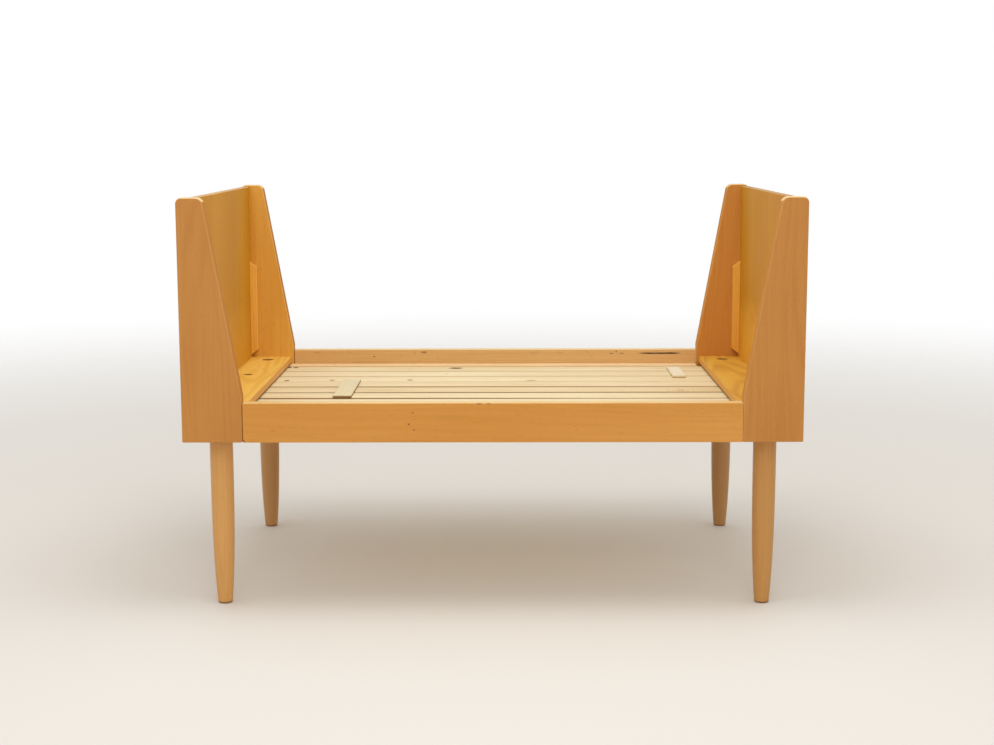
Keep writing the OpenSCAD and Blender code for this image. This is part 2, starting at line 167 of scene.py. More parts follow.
figureLook = dict(  # stretches, and the bands of noise that become a mask
    drift=(11, 11, 1.7), coneRise=0.012, seasonScale=0.37, seasonSwing=1.6, sharpness=1.5,
    Fibres=dict(stretch=(240, 240, 4), detail=3.0, roughness=0.6, band=(0.28, 0.72)),
    Patches=dict(stretch=(6.5, 6.5, 1.9), detail=2.0, roughness=0.5, band=(0.25, 0.75)),
    Flecks=dict(stretch=(520, 520, 75), detail=1.0, roughness=0.5, band=(0.64, 0.72)),
)


def drawFigure(tree, given, look=figureLook):
    place = attribute(tree, "woodPlace", "Vector")
    drift = vectors("SUBTRACT", noise(place, look["drift"], 1.5)["Color"], (0.5, 0.5, 0.5))
    bent = vectors("MULTIPLY_ADD", drift, given["Wander"], place)
    across, through, along = apart(bent)
    radius = vectors("LENGTH", xyz(across, through))
    radius = plus(timesPlus(along, look["coneRise"], radius), given["Swirl"])
    phase = divided(radius, given["Ring Spacing"])
    seasons = node(tree, "ShaderNodeTexNoise", {"W": phase, "Scale": look["seasonScale"], "Detail": 1.0},
                   noise_dimensions="1D").outputs[0]
    angle = times(timesPlus(seasons, look["seasonSwing"], phase), 2 * math.pi)
    wave = timesPlus(cosine(angle), -0.5, 0.5)
    results = {"Rings": power(wave, look["sharpness"])}
    for label, start in (("Fibres", bent), ("Patches", place), ("Flecks", place)):
        part = look[label]
        grain = noise(start, part["stretch"], part["detail"], part["roughness"])[0]
        results[label] = smoothStep(grain, part["band"])
    return results


knotLook = dict(  # reaches are shares of the knot's radius
    cells=(15.0, 4.6, 1.0), oval=(1.0, 0.72, 0.0), ragged=0.0016, raggedStretch=(230, 230, 230),
    smallest=0.00001, core=0.7, edge=1.25, blur=0.0005, rimStart=0.35, swirlReach=5.0,
    swirl=2.6)


def drawKnots(tree, given, look=knotLook):  # where branches left the stem, with the rings round them
    place = attribute(tree, "woodPlace", "Vector")
    across, through, along = apart(place)
    flat = xyz(across, along)
    cell = node(tree, "ShaderNodeTexVoronoi", {"Vector": vectors("MULTIPLY", flat, look["cells"]),
                                               "Scale": 1.0}, voronoi_dimensions="2D").outputs
    centre = vectors("DIVIDE", cell["Position"], look["cells"])
    away = vectors("MULTIPLY", vectors("SUBTRACT", centre, flat), look["oval"])
    ragged = noise(place, look["raggedStretch"], 1.0)[0]
    distance = timesPlus(ragged, look["ragged"], vectors("LENGTH", away))
    lot = node(tree, "ShaderNodeSeparateColor", {0: cell["Color"]}).outputs[0]
    chance = minus(lot, minus(1.0, given["Share"]))
    size = most(times(divided(chance, given["Share"]), given["Knot Radius"]), look["smallest"])
    reach = (times(size, look["core"]), timesPlus(size, look["edge"], look["blur"]))
    body = smoothStep(distance, reach, 1.0, 0.0)
    rim = smoothStep(distance, (times(size, look["rimStart"]), size))
    near = smoothStep(distance, (0.0, times(size, look["swirlReach"])), 1.0, 0.0)
    return {"Knot": body, "Rim": times(body, rim), "Swirl": times(times(near, size), look["swirl"])}


def drawSpot(tree, given, lumps=(1.7, 1.7, 1.7)):  # a mark at a place on the piece: a dent, nail hole or stain, and also painted shade and painted light
    away = vectors("DIVIDE", vectors("SUBTRACT", onPiece(tree), given["Centre"]), given["Reach"])
    rough = times(minus(noise(away, lumps, 3.0, 0.65)[0], 0.5), given["Ragged"])
    distance = timesPlus(rough, 2.0, vectors("LENGTH", away))
    return {"Mask": smoothStep(distance, (minus(1.0, given["Blur"]), 1.0), 1.0, 0.0)}


def drawWear(tree, given, band=(0.3, 0.7), shielded=0.45):  # a tone along rounded edges: finish rubbed thin, and on the slats' sides painted shade
    rub = noise(onPiece(tree), given["Break-up"], 3.0, 0.6)[0]
    touched = times(attribute(tree, "edgeTouch"), smoothStep(rub, band, shielded, 1.0))
    return {"Mask": times(touched, given["Amount"])}


def drawFilm(tree, given, smears=(9, 9, 9), ripples=(70, 70, 70)):  # brushed lacquer, duller in smears
    place = onPiece(tree)
    smear = minus(noise(place, smears, 4.0, 0.55)[0], 0.5)
    return {"Roughness": timesPlus(smear, given["Spread"], given["Dullness"]),
            "Ripple": noise(place, ripples)[0]}


timberFigure = makeTree("timberFigure", {"Ring Spacing": 0.006, "Wander": 0.01, "Swirl": 0.0}, drawFigure)
branchKnots = makeTree("branchKnots", {"Knot Radius": 0.005, "Share": 0.3}, drawKnots)
spotMark = makeTree(
    "spotMark", {"Centre": (0.0, 0.0, 0.0), "Reach": (0.002, 0.002, 0.002), "Blur": 0.55, "Ragged": 0.4},
    drawSpot)
edgeWear = makeTree("edgeWear", {"Amount": 0.6, "Break-up": 55.0}, drawWear)
lacquerFilm = makeTree("lacquerFilm", {"Dullness": 0.4, "Spread": 0.15}, drawFilm)
print("shader groups built")


# Materials

def startMaterial(name):
    material = bpy.data.materials.new(name)
    material.use_nodes = True
    return material, material.node_tree


shaderSockets = {"specular": "Specular IOR Level", "coat": "Coat Weight", "coatRoughness": "Coat Roughness",
                 "metallic": "Metallic"}


def dress(tree, colour, roughness, height, look):  # into the shader: what varies, then what doesn't
    shader = tree.nodes["Principled BSDF"]
    bump = node(tree, "ShaderNodeBump", {"Strength": look["relief"], "Distance": look["reliefDepth"],
                                         "Height": height}).outputs[0]
    for socket, value in (("Base Color", colour), ("Roughness", roughness), ("Normal", bump)):
        tree.links.new(value, shader.inputs[socket])
    for key, socket in shaderSockets.items():
        if key in look:
            shader.inputs[socket].default_value = look[key]


def timber(name, look):
    material, tree = startMaterial(name)
    feeds = {"Ring Spacing": look["ringSpacing"], "Wander": look["wander"]}
    if look["knotRadius"]:
        knots = useGroup(tree, branchKnots, {"Knot Radius": look["knotRadius"], "Share": look["knotShare"]})
        feeds["Swirl"] = knots["Swirl"]
    figure = useGroup(tree, timberFigure, feeds)
    depth = 0.5
    for mask, key in ((figure["Rings"], "ringDepth"), (figure["Fibres"], "fibreDepth"),
                      (figure["Patches"], "patchDepth"), (attribute(tree, "boardTint"), "tintDepth")):
        depth = timesPlus(minus(mask, 0.5), look[key], depth)
    depth = node(tree, "ShaderNodeClamp", {0: depth}).outputs[0]
    wood = mixTone(depth, look["pale"], look["deep"])
    if look["fleckDepth"]:
        wood = mixTone(times(figure["Flecks"], look["fleckDepth"]), wood, look["fleckTone"])
    if look["knotRadius"]:
        wood = mixTone(times(knots["Knot"], look["knotDepth"]), wood, look["knotTone"])
        wood = mixTone(times(knots["Rim"], look["rimDepth"]), wood, look["rimTone"])
    for place, reach, strength, colour in look["marks"]:
        mark = useGroup(tree, spotMark, {"Centre": place, "Reach": reach})["Mask"]
        wood = mixTone(times(mark, strength), wood, colour)
    edgeMask = useGroup(tree, edgeWear, {"Amount": look["wear"]})["Mask"]
    wood = mixTone(edgeMask, wood, look["wearTone"])
    film = useGroup(tree, lacquerFilm, {"Dullness": look["roughness"], "Spread": look["roughSpread"]})
    height = timesPlus(figure["Fibres"], look["fibreRelief"], times(film["Ripple"], look["rippleRelief"]))
    height = timesPlus(figure["Flecks"], look["fleckRelief"], height)
    dress(tree, wood, film["Roughness"], height, look)
    return material


def timbers(name, look, **changes):  # one timber for each end or piece that differs a little
    return {key: timber(name + key.capitalize(), {**look, **change}) for key, change in changes.items()}


def marksOn(axis, level, depth, *rows):  # spots on a flat face, in mm: place, reaches, strength, tone
    marks = []
    for *numbers, strength, colour in rows:
        place, reach = numbers[:2], numbers[2:]
        place.insert("xyz".index(axis), level)
        reach.insert("xyz".index(axis), depth)
        place, reach = (tuple(value / 1000 for value in numbers) for numbers in (place, reach))
        marks.append((place, reach, strength, colour))
    return marks


anyTimber = dict(
    tintDepth=0.0, fleckDepth=0.0, knotRadius=0.0, knotDepth=0.75, rimDepth=0.6, marks=[],
    fibreRelief=-0.7, rippleRelief=0.6, fleckRelief=-0.5, reliefDepth=0.0004, coat=0.0,
    coatRoughness=0.25)
lacquered = dict(  # what the lacquered beech pieces have in common
    anyTimber, ringSpacing=0.0085, wander=0.05, ringDepth=0.2, fibreDepth=0.3,
    patchDepth=0.5, fleckDepth=0.22, fleckTone="#9a5f25", wear=0.3, wearTone="#e9bf80",
    roughness=0.46, roughSpread=0.14, specular=0.3, coat=0.12, coatRoughness=0.3,
    relief=0.12)
bareWood = dict(  # and the unfinished softwood ones
    anyTimber, ringSpacing=0.0045, wander=0.02, ringDepth=0.4, fibreDepth=0.25,
    patchDepth=0.4, wear=0.3, roughness=0.6, roughSpread=0.1, specular=0.3, relief=0.2)

wingOuter = timber("wingOuterBeech", dict(lacquered, pale="#c88a42", deep="#b8762c", wear=0.12))
# inner faces painted warmer than the outer ones, for light bounced between the ends; the right end's are
# painted darker, as painted shade
wingInner = timbers("wingInner", dict(lacquered, coat=0.0),
                    left=dict(pale="#deaa4a", deep="#d09234"), right=dict(pale="#ca8a3a", deep="#b87428"))
blockBeech = timber("cornerBlockBeech", dict(lacquered, pale="#eab24a", deep="#dc9a38", coat=0.0))
beechEdge = timbers("beechEdge", dict(lacquered, wear=0.12, roughness=0.7, specular=0.05, coat=0.0),
                    left=dict(pale="#c48a44", deep="#b47434"), right=dict(pale="#cc944c", deep="#bc7e38"))

chips = marksOn(  # out of the front rail's top edge
    "y", -379.7, 4, (-24, 389.4, 7, 2.6, 0.75, "#84562a"), (-7, 389.4, 5, 2.2, 0.8, "#84562a"))
bruises = marksOn(  # nail holes by the middle, then bruises
    "y", -380, 4, (-143.2, 372.5, 2.2, 2.2, 0.75, "#7a4a22"), (-150.6, 351.4, 2.6, 2.6, 0.8, "#6e4420"),
    (-141.3, 341, 2.4, 2.4, 0.75, "#7a4a22"), (-449, 319.5, 3, 5, 0.9, "#5a3418"),
    (-395, 340, 6, 2.2, 0.35, "#a4662c"), (-80, 365.5, 50, 3.5, 0.25, "#b87c2c"))
railOuter = timber("railOuterBeech", dict(
    lacquered, pale="#da9a48", deep="#ca8630", ringSpacing=0.011, wander=0.06,
    ringDepth=0.14, fibreDepth=0.2, marks=chips + bruises))
railKnots = marksOn(  # and the dark streak by the rear rail's right-hand joint
    "y", 356, 4, (-159.1, 384.2, 8.5, 3, 0.75, "#7d4d2b"), (-180, 382.5, 3, 1.6, 0.6, "#8a5730"),
    (-270.9, 374.6, 2.8, 2.2, 0.8, "#6a3f22"), (-398.1, 384.2, 11, 1.6, 0.45, "#a06a3c"),
    (-326.6, 385, 4, 1.4, 0.45, "#a06a3c"), (88.6, 382.4, 16, 1.4, 0.4, "#a06a3c"),
    (145, 382.6, 12, 1.3, 0.4, "#a06a3c"), (206.8, 385, 1.6, 3, 0.5, "#8a5730"),
    (261, 381.3, 6, 1.8, 0.7, "#7a4c2c"), (284, 381.3, 6, 1.6, 0.7, "#7a4c2c"),
    (271.4, 386.2, 2.2, 3.4, 0.7, "#5c3820"), (345, 381.6, 30, 2.1, 1.0, "#24160c"),
    (368.5, 381.6, 30, 2, 1.0, "#24160c"), (392, 381.7, 30, 2.3, 1.0, "#2c1a0e"),
    (-280, 359.5, 62, 7, 0.35, "#b98d58"))
railInner = timber("railInnerPine", dict(
    lacquered, pale="#d8b076", deep="#c69a5a", coat=0.0, ringSpacing=0.0042, wander=0.03,
    ringDepth=0.45, knotRadius=0.004, knotShare=0.14, knotTone="#a0683a", rimTone="#6f4526",
    marks=railKnots))
# pale tops and top edges: partly finish rubbed pale, partly a painted highlight where the tops catch the
# overhead light
paleEdgeAndHighlight = dict(lacquered, pale="#e4c688", deep="#d6b066", wearTone="#f0d8a6", coat=0.1)
topEdge = timber("topEdgeBeech", dict(paleEdgeAndHighlight, pale="#e4c68c", deep="#d6b06a"))
panelEdge = timbers("panelEdge", dict(paleEdgeAndHighlight, specular=0.1, coat=0.0),
                    left=dict(pale="#cca468", deep="#bc9050", wear=0.15),
                    right=dict(pale="#bc904c", deep="#ac7e3a", wear=0.1))
railEdge = timber("railEdgeBeech", dict(paleEdgeAndHighlight, marks=chips))

veneer = dict(
    lacquered, pale="#cc9038", deep="#bc7e28", ringSpacing=0.014, wander=0.08,
    ringDepth=0.22, fibreDepth=0.22, fleckDepth=0.14, patchDepth=0.55, specular=0.12,
    roughness=0.6, coat=0.0)
panelOuter = timber("panelOuterVeneer", veneer)
lowPanelLight = (marksOn("x", -544, 12, (0, 365, 700, 150, 0.8, "#d89c30"))  # painted light: a paler band low on the head panels' inner faces, against the shade of the corners
           + marksOn("x", 544, 12, (0, 365, 700, 160, 0.9, "#e6aa38")))
panelInner = timber("panelInnerVeneer", dict(veneer, pale="#d09420", deep="#c08212", marks=lowPanelLight))
plateMarks = {
    "left": marksOn("z", 375.5, 2, (-502.2, 157.6, 6.0, 5.0, 0.6, "#f2d08c"),
                    (-493.0, 160.0, 3.5, 4.0, 0.6, "#a9702c"), (-480.9, 149.9, 4.5, 5.5, 0.6, "#f4d694"),
                    (-508.0, 205.0, 4.0, 6.0, 0.4, "#b87c34")),
    "right": marksOn("z", 375.5, 2, (473.2, 191.8, 11.0, 15.0, 0.3, "#b87c2c"))}
platePly = timbers(
    "platePlywood", dict(lacquered, ringSpacing=0.013, wander=0.16, fibreDepth=0.25, fleckDepth=0.1,
                         specular=0.25, coat=0.0, roughness=0.55),
    left=dict(pale="#ecc058", deep="#dca63e", ringDepth=0.6, marks=plateMarks["left"]),
    right=dict(pale="#daa83e", deep="#c89030", ringDepth=0.8, marks=plateMarks["right"]))

slatLumber = dict(
    bareWood, pale="#e9dab2", deep="#d4bc8c", ringSpacing=0.0052, ringDepth=0.42,
    tintDepth=0.45, fleckDepth=0.1, fleckTone="#c8a878", knotRadius=0.0055, knotShare=0.16,
    knotTone="#c08c58", rimTone="#8a5c38", wearTone="#f6e8cc", roughness=0.62, specular=0.25)
# painted shade, with some dust: dark bands on the slat tops along the near gaps
gapShadeAndDust = marksOn(
    "z", 358, 5, (-350, -128, 850, 11, 0.8, "#8c5c18"), (150, -54, 900, 9.5, 0.55, "#8e601c"),
    (0, 20, 1200, 10, 0.6, "#8e601c"))
# knots, and at x -454 and -440 a painted shadow under the left plate's rear corner
slatKnotsAndCornerShadow = marksOn(
    "z", 358, 3, (-85.9, 288, 20, 14, 1.0, "#5e4022"), (-339.7, 112, 8, 10, 0.8, "#74502a"),
    (-176.5, 112, 8, 10, 0.8, "#74502a"), (77, 105, 16, 9, 0.6, "#94683a"),
    (-454, 304, 6, 12, 1.0, "#462c16"), (-440, 302, 8, 10, 1.0, "#462c16"),
    (-434.6, 107, 8, 10, 0.9, "#6c4824"))
slatPine = timber("slatPine", dict(slatLumber, marks=gapShadeAndDust + slatKnotsAndCornerShadow))
slatSideAndShade = timber("slatSideShadePine", dict(  # the slats' edges: brown with dust, and darker still, with a dark tone on their rounding, as painted shade in the gaps between the slats
    slatLumber, pale="#b48c5a", deep="#987042", wearTone="#7c5630",
    # painted shade: the sides of the near slats darkest
    marks=marksOn("z", 352, 30, (0, -100, 1500, 220, 0.95, "#5c3a0c"),
                     (100, 94, 1500, 20, 0.8, "#d8c094"))))

keeperFace = dict(
    bareWood, pale="#e0d6b4", deep="#d0c094", ringSpacing=0.004, wander=0.01,
    ringDepth=0.3, fibreDepth=0.3, patchDepth=0.3, wear=0.4, wearTone="#f2e6cc",
    specular=0.25)
keeperWood = timbers("keeperWood", keeperFace, long={}, short=dict(pale="#ece5cc", deep="#dccda9"))
keeperSide = timbers(  # the long keeper's edges are painted dark: painted shade along its front end and right side, with darker end grain; the short one's are plain
    "keeperSide", dict(keeperFace, wear=0.2, wearTone="#c8aa84", roughness=0.7, specular=0.1),
    long=dict(pale="#ba9462", deep="#9a744a"), short=dict(pale="#e0cca2", deep="#ceb688"))

legShadeMarks = (marksOn("z", 0, 4.6, (0, 0, 3000, 3000, 0.9, "#5e3a18"))  # painted contact shadow round the feet
            + marksOn("y", 340, 120, (0, 150, 3000, 600, 0.35, "#a98462")))  # painted shade, greyer, on the rear legs
# the right legs are painted darker than the left: painted shade, as the light falls from the left
legBeech = timbers(
    "legBeech", dict(lacquered, ringSpacing=0.0065, wander=0.015, ringDepth=0.18, fibreDepth=0.16,
                     fleckDepth=0.12, coat=0.2, marks=legShadeMarks),
    left=dict(pale="#dba45e", deep="#cb904c"), right=dict(pale="#c8924e", deep="#b47c3c"))
frameLumber = dict(
    bareWood, pale="#f6d49c", deep="#e4b878", knotRadius=0.005, knotShare=0.15,
    knotTone="#b57e4c", rimTone="#7c5030", wearTone="#f6e2bc")
framePine = timber("framePine", frameLumber)
innerTop = timber("innerRailTopPine", dict(frameLumber, pale="#f2d8aa", deep="#e6c28c"))


def plyEdges(name, look):  # thin layers on edge: every second one shows end grain
    material, tree = startMaterial(name)
    place = onPiece(tree)
    along, across, height = apart(place)
    waver = noise(place, look["waverStretch"])[0]
    level = divided(minus(height, look["underside"]), look["layer"])
    level = plus(level, times(minus(waver, 0.5), look["waver"]))
    odd = pingPong(level, 1.0)
    grit = noise(place, look["gritStretch"], 2.0, 0.7)[0]
    wood = mixTone(smoothStep(odd, look["layerBand"]), look["long"], look["end"])
    pores = times(smoothStep(grit, look["poreBand"]), look["poreDepth"])
    wood = mixTone(pores, wood, look["pores"])
    fromGlue = absolute(minus(odd, 0.5))
    wood = mixTone(smoothStep(fromGlue, look["glueBand"], look["glueDepth"], 0.0), wood, look["glue"])
    edgeMask = useGroup(tree, edgeWear, {"Amount": look["wear"]})["Mask"]
    wood = mixTone(edgeMask, wood, look["wearTone"])
    # painted shadow: the lowest layers darker, where the plate's edge sits over the slats
    foot = smoothStep(level, look["underShadeLayers"], look["underShadeDepth"], 0.0)
    wood = mixTone(foot, wood, look["foot"])
    # painted shade on the walls of the bolt holes
    holeShadeMask = smoothStep(absolute(along), look["holeBand"], 0.0, look["holeDepth"])
    wood = mixTone(holeShadeMask, wood, look["hole"])
    film = useGroup(tree, lacquerFilm, {"Dullness": look["roughness"], "Spread": look["roughSpread"]})
    dress(tree, wood, film["Roughness"], grit, look)
    return material


plateLow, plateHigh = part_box("end_plate_right")
plyLayers = 9
plyLook = dict(
    underside=plateLow.z, layer=(plateHigh.z - plateLow.z) / plyLayers, layerBand=(0.35, 0.65),
    waver=0.35, waverStretch=(12, 12, 3), gritStretch=(420, 420, 900), poreBand=(0.4, 0.8),
    poreDepth=0.45, glueBand=(0.0, 0.12), glueDepth=0.55, wear=0.5, underShadeLayers=(0.8, 3.0),
    underShadeDepth=0.9, holeBand=(0.460, 0.462), holeDepth=0.65, roughness=0.6, roughSpread=0.1,
    relief=0.25, reliefDepth=0.0004, specular=0.25, long="#eeb664", end="#dfa24c",
    glue="#c48a40", pores="#c48c42", wearTone="#f2ca84", foot="#80501e", hole="#7c4c18")
plyEdge = {
    "left": plyEdges("plateEdgeLeft", plyLook),
    "right": plyEdges("plateEdgeRight", dict(plyLook, long="#e8b058", end="#dca248", glue="#cc943c"))}


def zincSteel(name, look):
    material, tree = startMaterial(name)
    place = onPiece(tree)
    cells = node(tree, "ShaderNodeTexVoronoi", {"Vector": place, "Scale": look["spangle"]}).outputs
    lot = node(tree, "ShaderNodeSeparateColor", {0: cells["Color"]}).outputs[0]
    tarnish = smoothStep(noise(place, look["tarnishStretch"], 3.0)[0], look["tarnishBand"])
    metal = mixTone(lot, look["bright"], look["dull"])
    metal = mixTone(times(tarnish, look["tarnishDepth"]), metal, look["tarnish"])
    edgeMask = useGroup(tree, edgeWear, {"Amount": look["wear"], "Break-up": look["wearGrain"]})["Mask"]
    metal = mixTone(edgeMask, metal, look["bright"])
    rough = timesPlus(lot, look["spangleRough"], look["roughness"])
    rough = timesPlus(tarnish, look["tarnishRough"], rough)
    scratches = noise(place, look["scratchStretch"])[0]
    dress(tree, metal, rough, scratches, look)
    return material


steel = zincSteel("zincSteel", dict(
    bright="#d4d6d8", dull="#b3b6b9", tarnish="#8d8578", spangle=420.0,
    tarnishStretch=(90, 90, 90), tarnishBand=(0.42, 0.68), tarnishDepth=0.5, wear=0.7,
    wearGrain=300.0, roughness=0.3, spangleRough=0.08, tarnishRough=0.25,
    scratchStretch=(900, 900, 240), relief=0.15, reliefDepth=0.0002, metallic=1.0))
print("materials built:", len(bpy.data.materials))


# Making and finishing pieces

def pieceName(cadName):  # wing_front_left becomes wingFrontLeft
    first, *rest = cadName.split("_")
    return first + "".join(word.capitalize() for word in rest)


def newObject(name, data):
    made = bpy.data.objects.new(name, data)
    scene.collection.objects.link(made)
    return made


def mergedMesh(cadName, weld=0.00001, flat=0.4):  # a CAD node's loose triangles as whole flat faces
    mesh = bpy.data.meshes.new(pieceName(cadName))
    work = bmesh.new()
    work.from_mesh(frame["nodes"][cadName].data)
    bmesh.ops.remove_doubles(work, verts=work.verts, dist=weld)
    bmesh.ops.dissolve_limit(work, angle_limit=math.radians(flat), verts=work.verts, edges=work.edges)
    work.to_mesh(mesh)
    work.free()
    return mesh


def looseParts(mesh):  # the vertices of each separate part, lowest number first
    group = list(range(len(mesh.vertices)))

    def root(at):
        while group[at] != at:
            group[at] = group[group[at]]
            at = group[at]
        return at

    for edge in mesh.edges:
        a, b = root(edge.vertices[0]), root(edge.vertices[1])
        group[max(a, b)] = min(a, b)
    parts = {}
    for at in range(len(group)):
        parts.setdefault(root(at), []).append(at)
    return list(parts.values())


def partBoxes(cadName):  # the box of each loose part of a CAD node
    mesh = mergedMesh(cadName)
    boxes = []
    for part in looseParts(mesh):
        corners = [mesh.vertices[at].co for at in part]
        boxes.append((Vector(map(min, *corners)), Vector(map(max, *corners))))
    bpy.data.meshes.remove(mesh)
    return sorted(boxes, key=lambda box: tuple(box[0]))


def sizeOf(box):
    return [high - low for low, high in zip(*box)]


def middleOf(box):
    return (box[0] + box[1]) / 2


def footOf(box):
    return middleOf(box).x, middleOf(box).y, box[0].z


def smooth(mesh):
    mesh.polygons.foreach_set("use_smooth", [True] * len(mesh.polygons))


def settle(piece):  # what the modifiers make becomes the piece's own plain mesh
    graph = bpy.context.evaluated_depsgraph_get()
    mesh = bpy.data.meshes.new_from_object(piece.evaluated_get(graph), preserve_all_data_layers=True,
                                           depsgraph=graph)
    spare, name = piece.data, piece.name
    piece.modifiers.clear()
    piece.data = mesh
    bpy.data.meshes.remove(spare)
    mesh.name = name


grainOrder = {"x": (1, 2, 0), "y": (0, 2, 1), "z": (0, 1, 2)}  # across, through, along
heartShift = {"across": (-0.4, 0.4), "through": (0.5, 1.3), "along": (-9, 9)}  # along is in metres


def layGrain(mesh, grain, seed, heart):  # gives each loose part its own place in the tree
    lots = random.Random(seed)
    places = [0.0] * (3 * len(mesh.vertices))
    tints = [0.0] * len(mesh.vertices)
    for part in looseParts(mesh):
        corners = [mesh.vertices[at].co for at in part]
        middle = [(min(c[axis] for c in corners) + max(c[axis] for c in corners)) / 2 for axis in range(3)]
        shift = (lots.uniform(*heartShift["across"]) * heart, lots.uniform(*heartShift["through"]) * heart,
                 lots.uniform(*heartShift["along"]))
        tint = lots.random()
        for at, corner in zip(part, corners):
            places[3 * at:3 * at + 3] = [corner[axis] - middle[axis] + move
                                         for axis, move in zip(grainOrder[grain], shift)]
            tints[at] = tint
    mesh.attributes.new("woodPlace", "FLOAT_VECTOR", "POINT").data.foreach_set("vector", places)
    mesh.attributes.new("boardTint", "FLOAT", "POINT").data.foreach_set("value", tints)


def markEdges(mesh, narrow=0.0011):  # edgeTouch is 1 where all the faces round a vertex are narrow
    touch = [1.0] * len(mesh.vertices)
    for face in mesh.polygons:
        ends = [mesh.vertices[at].co for at in face.vertices]
        longest = max((a - b).length for a, b in zip(ends, ends[1:] + ends[:1]))
        if face.area > narrow * longest:
            for at in face.vertices:
                touch[at] = 0.0
    mesh.attributes.new("edgeTouch", "FLOAT", "POINT").data.foreach_set("value", touch)


def paint(mesh, finishes, reach=0.5):  # a finish for each way that a face may look, and for the rest
    mesh.materials.clear()
    for finish in finishes.values():
        mesh.materials.append(finish)
    ways = list(finishes)
    for face in mesh.polygons:
        face.material_index = ways.index("rest")
        for number, way in enumerate(ways):
            if way != "rest" and int(way[0] + "1") * face.normal["xyz".index(way[1])] > reach:
                face.material_index = number


def declare(piece, *cadNames):
    first = frame["nodes"][cadNames[0]]
    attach(piece, first["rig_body"])
    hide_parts(*cadNames)


def chooseEdges(mesh, joints, slack=0.0026, sharp=32):  # to round: outer corners that no joint hides
    work = bmesh.new()
    work.from_mesh(mesh)
    weights = []
    for edge in work.edges:
        outer = edge.is_manifold and edge.is_convex and edge.calc_face_angle(0.0) > math.radians(sharp)
        hidden = any(all(low[axis] - slack < corner.co[axis] < high[axis] + slack
                         for corner in edge.verts for axis in range(3)) for low, high in joints)
        weights.append(1.0 if outer and not hidden else 0.0)
    work.free()
    mesh.attributes.new("bevel_weight_edge", "FLOAT", "EDGE").data.foreach_set("value", weights)


def board(cadName, grain, finishes, look, number=0, joints=()):
    piece = newObject(pieceName(cadName), mergedMesh(cadName))
    chooseEdges(piece.data, [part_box(name) for name in joints])
    soft = piece.modifiers.new("edges", "BEVEL")
    soft.width, soft.segments, soft.limit_method = look["edgeRound"], look["roundSteps"], "WEIGHT"
    soft.use_clamp_overlap, soft.loop_slide = False, False
    level = piece.modifiers.new("level", "WEIGHTED_NORMAL")
    level.keep_sharp, level.weight = True, 100
    smooth(piece.data)
    settle(piece)
    layGrain(piece.data, grain, look["seed"] + number, look["heart"])
    markEdges(piece.data)
    paint(piece.data, finishes)
    declare(piece, cadName)


# End boards, head panels and corner blocks

wingLook = dict(edgeRound=0.0024, roundSteps=4, heart=0.09, seed=11)
blockLook = dict(edgeRound=0.0010, roundSteps=3, heart=0.03, seed=31)
panelLook = dict(edgeRound=0.0015, roundSteps=3, heart=0.12, seed=21)
bedEnds = ("left", "right")
bedCorners = [(end, side) for end in bedEnds for side in ("front", "rear")]
for number, (end, side) in enumerate(bedCorners):
    outside, inside = ("-y", "+y") if side == "front" else ("+y", "-y")
    board(f"wing_{side}_{end}", "z",
          {outside: wingOuter, inside: wingInner[end], "+z": topEdge, "rest": beechEdge[end]},
          wingLook, number, [f"headboard_{end}"])
    board(f"corner_block_{side}_{end}", "z", {"rest": blockBeech}, blockLook, number)
for number, end in enumerate(bedEnds):
    outside, inside = ("-x", "+x") if end == "left" else ("+x", "-x")
    board(f"headboard_{end}", "z",
          {outside: panelOuter, inside: panelInner, "+z": panelEdge[end], "rest": beechEdge[end]},
          panelLook, number)
print("ends built")


# Outer rails, inner rails, ledges, cleats, blocks and bearers

railLook = dict(edgeRound=0.0014, roundSteps=3, heart=0.06, seed=41)
board("rail_front", "x", {"-y": railOuter, "+y": railInner, "rest": railEdge}, railLook)
board("rail_rear", "x", {"+y": railOuter, "-y": railInner, "rest": railEdge}, railLook, 1)
frameLook = dict(edgeRound=0.0008, roundSteps=2, heart=0.03, seed=50)
frameTimbers = {  # by grain, with the number of the first
    "x": (0, ("inner_rail_front", "inner_rail_rear", "rail_ledge_front", "rail_ledge_rear",
              "wing_cleat_front_right", "wing_cleat_rear_right", "leg_block_front_left",
              "leg_block_rear_left", "leg_block_front_right", "leg_block_rear_right")),
    "y": (20, ("slat_bearer_left", "slat_bearer_right", "cross_tie", "plate_cleat_left",
               "plate_cleat_right", "slat_ledge_left", "slat_ledge_right"))}
for grain, (first, cadNames) in frameTimbers.items():
    for number, cadName in enumerate(cadNames, first):
        top = innerTop if cadName.startswith("inner_rail") else framePine
        board(cadName, grain, {"+z": top, "rest": framePine}, frameLook, number)
print("rails and frame built")


# End plates and keepers

plateLook = dict(edgeRound=0.0006, roundSteps=2, heart=0.04, seed=81)
for number, end in enumerate(bedEnds):
    board(f"end_plate_{end}", "y", {"+z": platePly[end], "-z": platePly[end], "rest": plyEdge[end]},
          plateLook, number)
keeperLook = dict(edgeRound=0.0005, roundSteps=2, heart=0.03, seed=91)
for number, kind in enumerate(("long", "short")):
    board(f"keeper_{kind}", "y",
          {"+z": keeperWood[kind], "-z": keeperWood[kind], "rest": keeperSide[kind]}, keeperLook, number)
print("plates and keepers built")


# Pieces that repeat: geometry trees. A dictionary names each tree's inputs and their values; those
# that the CAD nodes fix are measured on them and take the place of the dictionary's.

def form(tree, kind, feeds=None, **settings):
    return node(tree, "GeometryNode" + kind, feeds, **settings).outputs[0]


